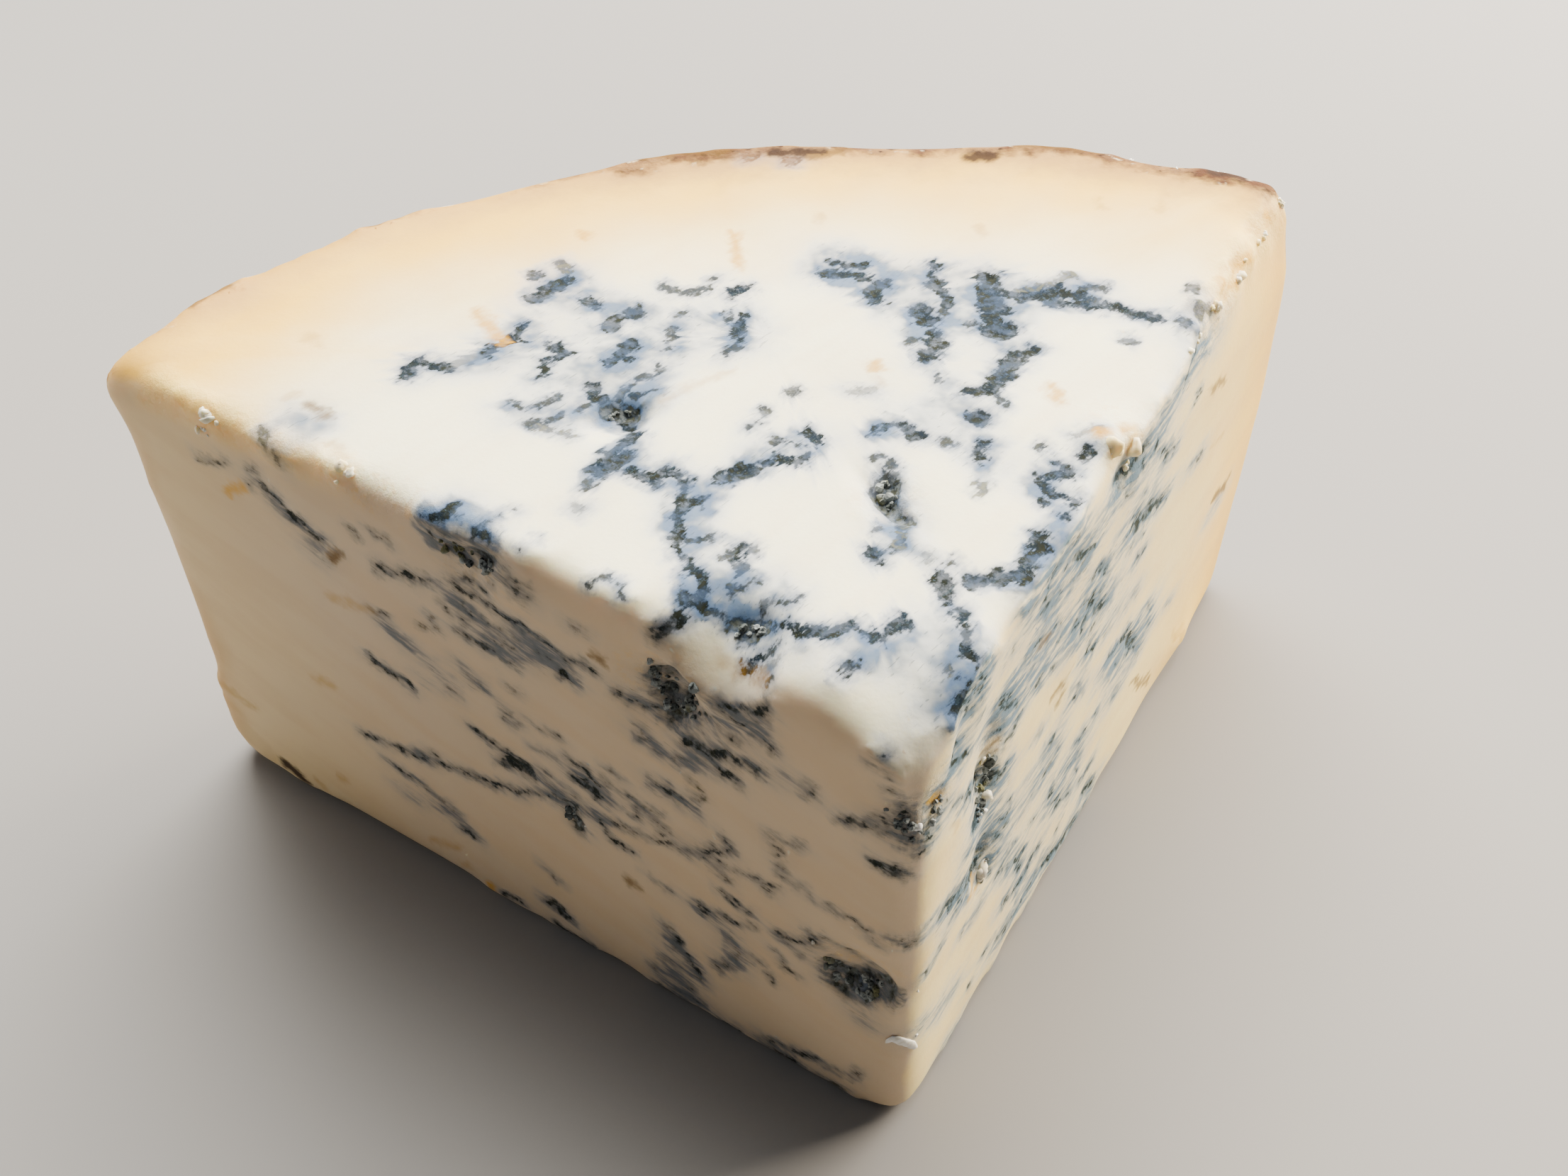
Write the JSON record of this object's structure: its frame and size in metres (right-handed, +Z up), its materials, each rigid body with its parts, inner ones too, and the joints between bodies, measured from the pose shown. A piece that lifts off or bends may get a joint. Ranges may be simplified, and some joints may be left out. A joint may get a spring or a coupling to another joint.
{
  "type": "blue cheese wedge",
  "caption": "Thick wedge of blue cheese with flat cut top, bottom and sides, a rough curved rind at the back, and open blue veins.",
  "frame": {"origin": "middle of the wedge's box, on the flat cut bottom that it rests on", "axes": "+Z up, +Y from the tip along the middle of the wedge to the rind, +X to the right seen from the tip"},
  "size_m": [0.1408, 0.1006, 0.0633],
  "materials": {
    "cheese": "moist ivory paste with near-black and blue mould veins, tan towards a rough brown rind"
  },
  "bodies": {
    "root": {"cheese_wedge": "cheese"}
  },
  "joints": []
}
